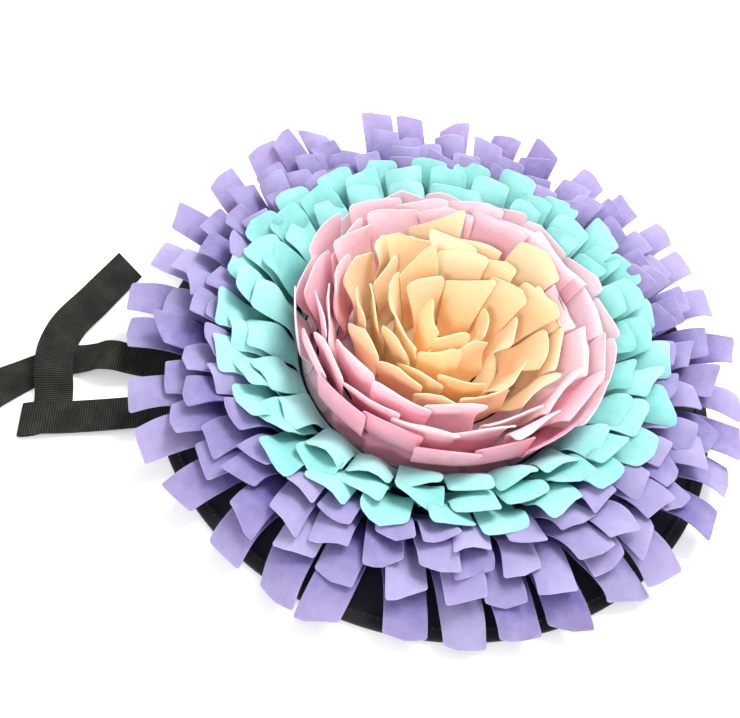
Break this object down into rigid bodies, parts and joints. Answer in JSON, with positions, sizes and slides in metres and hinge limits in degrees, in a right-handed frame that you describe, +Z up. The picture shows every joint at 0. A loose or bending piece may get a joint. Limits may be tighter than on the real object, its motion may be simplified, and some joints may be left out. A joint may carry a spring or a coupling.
{
  "type": "snuffle mat",
  "caption": "Round cloth foraging mat with rings of stiff felt fringe that rise to a flower-like centre, a bound edge and webbing ties.",
  "frame": {"origin": "centre of the underside of the base cloth, on the surface that it lies on", "axes": "+Z up, across the cloth; -Y is the side with the lowest fringe, and the ties leave at -X"},
  "size_m": [0.5379, 0.451, 0.0821],
  "materials": {
    "base_cloth": "woven",
    "binding": "woven",
    "lavender_felt": "felted",
    "aqua_felt": "felted",
    "pink_felt": "felted",
    "cream_felt": "felted",
    "webbing": "woven"
  },
  "bodies": {
    "root": {"base_cloth": "base_cloth", "edge_binding": "binding", "lavender_row_1": "lavender_felt", "lavender_row_2": "lavender_felt", "lavender_row_3": "lavender_felt", "lavender_row_4": "lavender_felt", "aqua_row_1": "aqua_felt", "aqua_row_2": "aqua_felt", "aqua_row_3": "aqua_felt", "pink_row_1": "pink_felt", "pink_row_2": "pink_felt", "pink_row_3": "pink_felt", "cream_row_1": "cream_felt", "cream_row_2": "cream_felt", "cream_row_3": "cream_felt", "cream_row_4": "cream_felt", "tie_long": "webbing", "tie_short": "webbing"}
  },
  "joints": []
}
